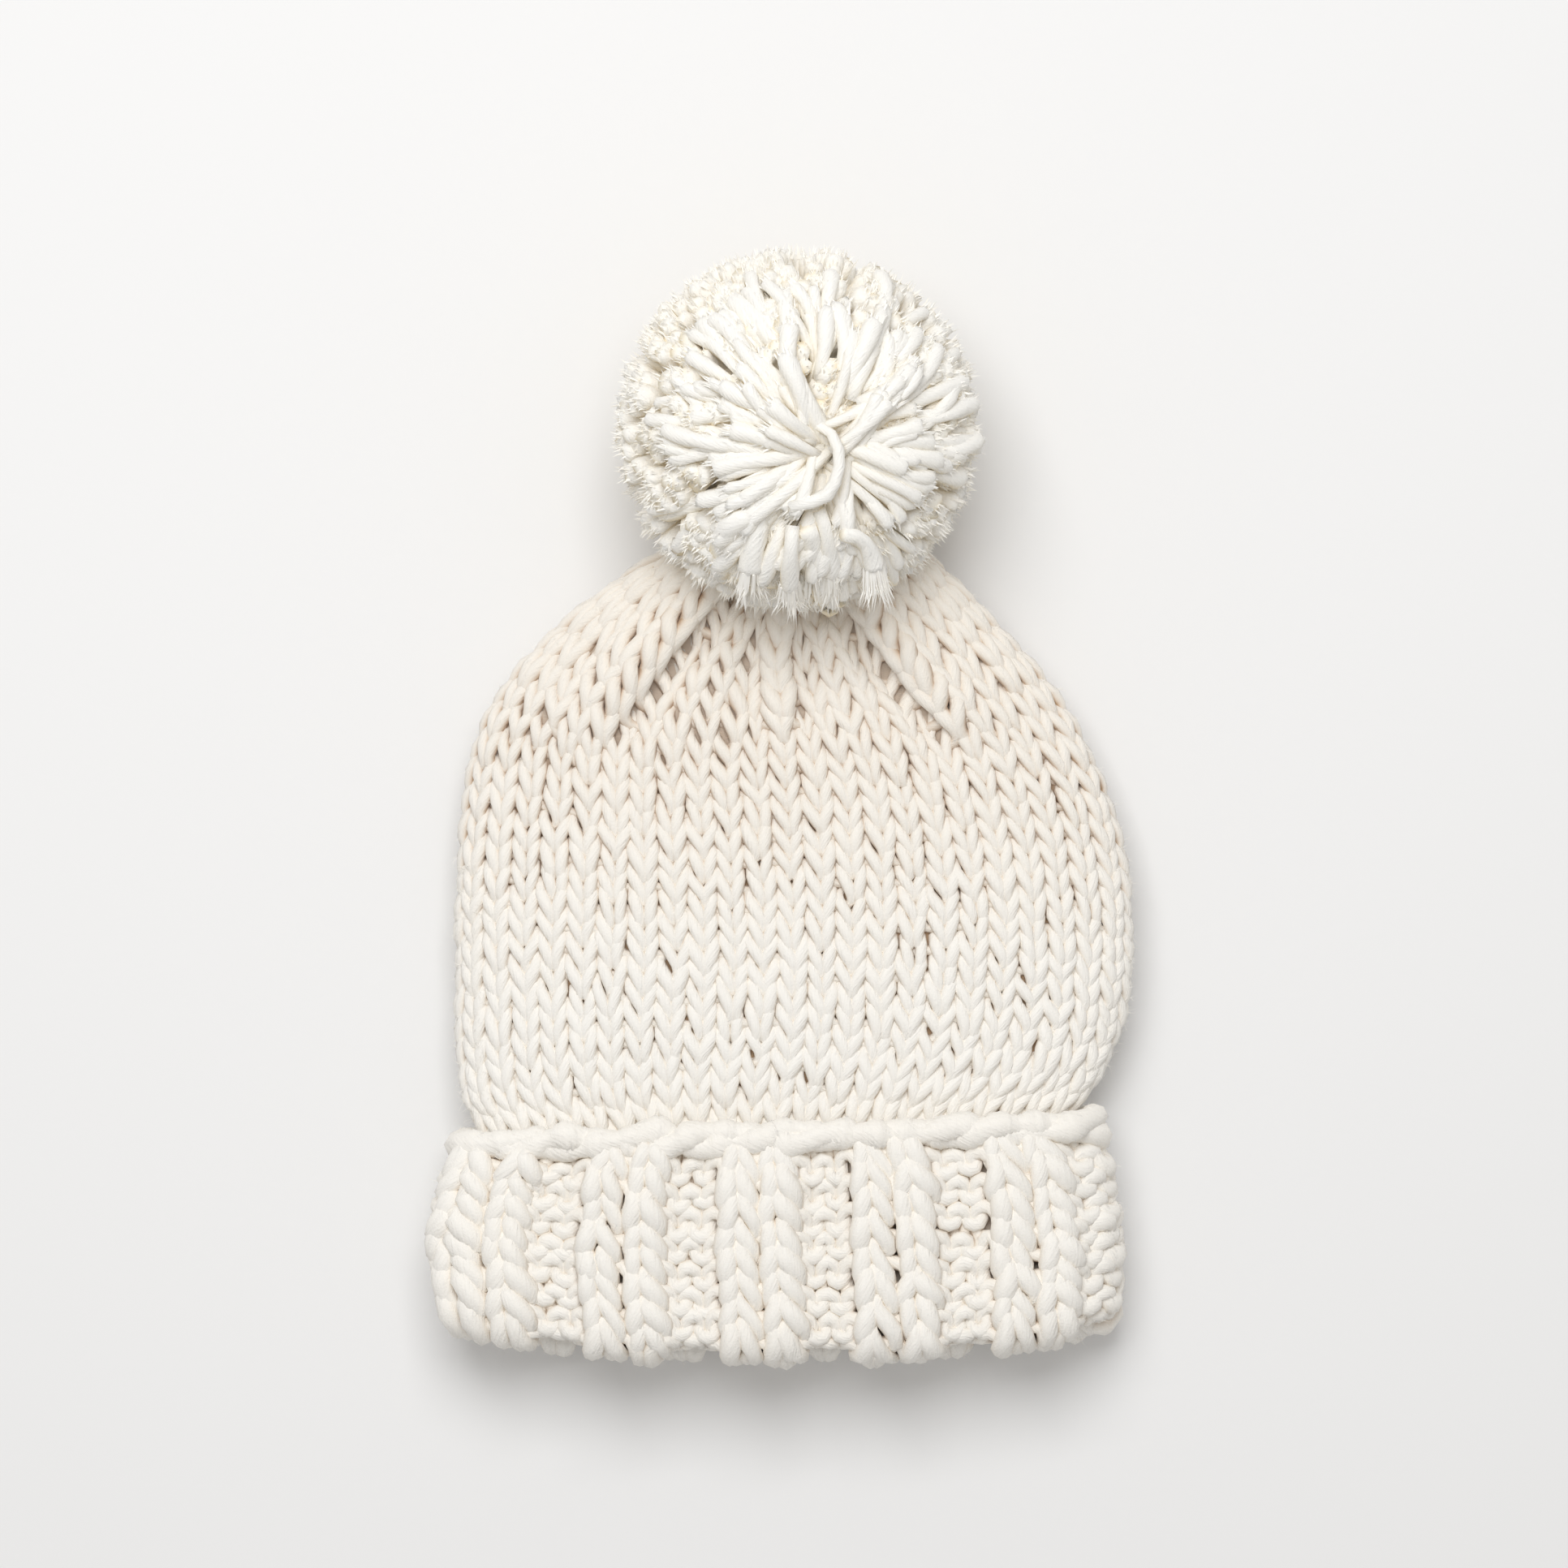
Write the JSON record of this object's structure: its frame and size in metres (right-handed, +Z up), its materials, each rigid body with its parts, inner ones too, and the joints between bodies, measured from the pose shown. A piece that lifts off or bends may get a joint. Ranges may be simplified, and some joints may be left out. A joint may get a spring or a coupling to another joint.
{
  "type": "pom-pom hat",
  "caption": "Chunky knitted winter hat lying flat on its back: hollow plain-knit crown gathered at the top, turned-up ribbed cuff round the open mouth, and a round wool pompom.",
  "frame": {"origin": "on the floor under the middle of the hat's bounding box as it lies on its back", "axes": "+Y along the hat from its mouth to the pompom, +Z up from the floor through the front of the hat, +X to the right as seen from above with the pompom at the top"},
  "size_m": [0.1918, 0.303, 0.0963],
  "materials": {
    "crown_wool": "cream bulky wool, plain knit",
    "cuff_wool": "cream bulky wool, two by two rib",
    "pompom_wool": "cream bulky wool, cut ends"
  },
  "bodies": {
    "root": {"crown": "crown_wool", "cuff": "cuff_wool", "pompom": "pompom_wool"}
  },
  "joints": []
}
